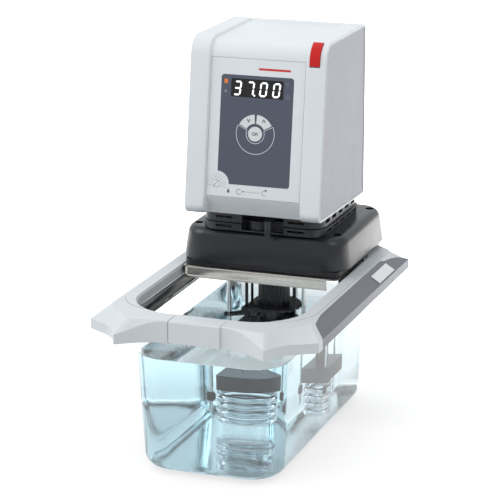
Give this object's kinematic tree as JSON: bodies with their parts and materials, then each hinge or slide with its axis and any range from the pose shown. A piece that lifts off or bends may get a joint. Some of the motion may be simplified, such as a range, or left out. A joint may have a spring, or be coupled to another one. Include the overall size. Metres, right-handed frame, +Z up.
{
  "type": "heating water bath circulator",
  "caption": "Clear rectangular laboratory water bath in a light grey handle frame, with a lift-off immersion heating circulator on a steel bridge.",
  "frame": {"origin": "on the bench, under the middle of the tank's footprint box", "axes": "+X to the right of the control face, +Y to the rear, +Z up"},
  "size_m": [0.24, 0.396, 0.4195],
  "materials": {
    "clear_plastic": "clear, polished",
    "light_grey_plastic": "fine satin",
    "slate_grey_plastic": "satin",
    "side_panel_grey": "fine texture",
    "slate_foil": "printed foil, satin",
    "black_plastic": "satin, grained",
    "dark_grey_plastic": "satin",
    "stainless_steel": "brushed",
    "polished_steel": "polished",
    "display_glass": "glossy dark window",
    "key_white": "satin",
    "switch_red": "glossy",
    "badge_white": "smooth, blank",
    "grey_rubber": "matt",
    "circuit_board": "lacquered",
    "motor_metal": "machined",
    "psu_casing": "plain",
    "black_screw": "black oxide"
  },
  "bodies": {
    "bath": {"bath_tank": "clear_plastic", "tank_foot_front_left": "clear_plastic", "tank_foot_front_right": "clear_plastic", "tank_foot_rear_left": "clear_plastic", "tank_foot_rear_right": "clear_plastic", "bath_frame": "light_grey_plastic", "side_strip_left": "slate_grey_plastic", "side_strip_right": "slate_grey_plastic", "badge_plate": "badge_white", "rail_insert_left": "light_grey_plastic", "rail_insert_right": "light_grey_plastic", "front_insert": "light_grey_plastic", "rear_insert": "light_grey_plastic"},
    "circulator": {"head_shell": "light_grey_plastic", "fascia_panel": "light_grey_plastic", "bridge_plate": "stainless_steel", "rod_left": "stainless_steel", "rod_right": "stainless_steel", "base_gasket": "black_plastic", "base_housing": "black_plastic", "mains_inlet": "black_plastic", "pump_column": "black_plastic", "pump_flange_disc": "black_plastic", "rod_carrier": "black_plastic", "pump_housing": "black_plastic", "level_switch": "black_plastic", "probe_sheath": "black_plastic", "level_sheath": "black_plastic", "base_screw_front_left": "black_screw", "base_screw_front_right": "black_screw", "base_screw_rear_left": "black_screw", "base_screw_rear_right": "black_screw", "vent_collar": "dark_grey_plastic", "rear_cover": "dark_grey_plastic", "fan_frame": "dark_grey_plastic", "rod_clamp_left": "dark_grey_plastic", "rod_clamp_right": "dark_grey_plastic", "side_panel_left": "side_panel_grey", "side_panel_right": "side_panel_grey", "display_panel": "slate_foil", "display_window": "display_glass", "display_board": "circuit_board", "control_board": "circuit_board", "motor_body": "motor_metal", "shaft_bearing": "motor_metal", "power_supply": "psu_casing", "shaft_seal": "grey_rubber", "heater_coil": "polished_steel"},
    "valve_lever": {"valve_lever": "dark_grey_plastic"},
    "ok_button": {"button_ok": "key_white"},
    "down_key": {"key_down": "key_white"},
    "up_key": {"key_up": "key_white"},
    "mains_switch": {"power_switch": "switch_red"},
    "limit_dial": {"overtemp_dial": "light_grey_plastic"},
    "pump_rotor": {"pump_shaft": "stainless_steel", "pump_impeller": "dark_grey_plastic"},
    "fan_rotor": {"fan_rotor": "black_plastic"}
  },
  "joints": [
    {"name": "circulator_lift", "type": "slide", "parent": "bath", "child": "circulator", "axis": [0, 0, 1], "range_m": [0, 0.19]},
    {"name": "valve_lever_swing", "type": "hinge", "parent": "circulator", "child": "valve_lever", "pos_m": [0, 0.058, 0.228], "axis": [0, 0, 1], "range_deg": [-24, 0]},
    {"name": "ok_button_press", "type": "slide", "parent": "circulator", "child": "ok_button", "axis": [0, 0.9908, -0.1353], "range_m": [0, 0.0006], "stiffness_N_per_m": 500},
    {"name": "down_key_press", "type": "slide", "parent": "circulator", "child": "down_key", "axis": [0, 0.9908, -0.1353], "range_m": [0, 0.0006], "stiffness_N_per_m": 500},
    {"name": "up_key_press", "type": "slide", "parent": "circulator", "child": "up_key", "axis": [0, 0.9908, -0.1353], "range_m": [0, 0.0006], "stiffness_N_per_m": 500},
    {"name": "mains_switch_rock", "type": "hinge", "parent": "circulator", "child": "mains_switch", "pos_m": [0.0613, 0.01184, 0.40675], "axis": [1, 0, 0], "range_deg": [0, 5]},
    {"name": "limit_dial_turn", "type": "hinge", "parent": "circulator", "child": "limit_dial", "pos_m": [-0.0403, -0.01042, 0.2702], "axis": [0, -0.9908, 0.1353], "range_deg": [-135, 135]},
    {"name": "pump_spin", "type": "hinge", "parent": "circulator", "child": "pump_rotor", "pos_m": [0, 0.058, 0.148], "axis": [0, 0, 1], "continuous": true},
    {"name": "fan_spin", "type": "hinge", "parent": "circulator", "child": "fan_rotor", "pos_m": [0, 0.1375, 0.348], "axis": [0, 1, 0], "continuous": true}
  ]
}
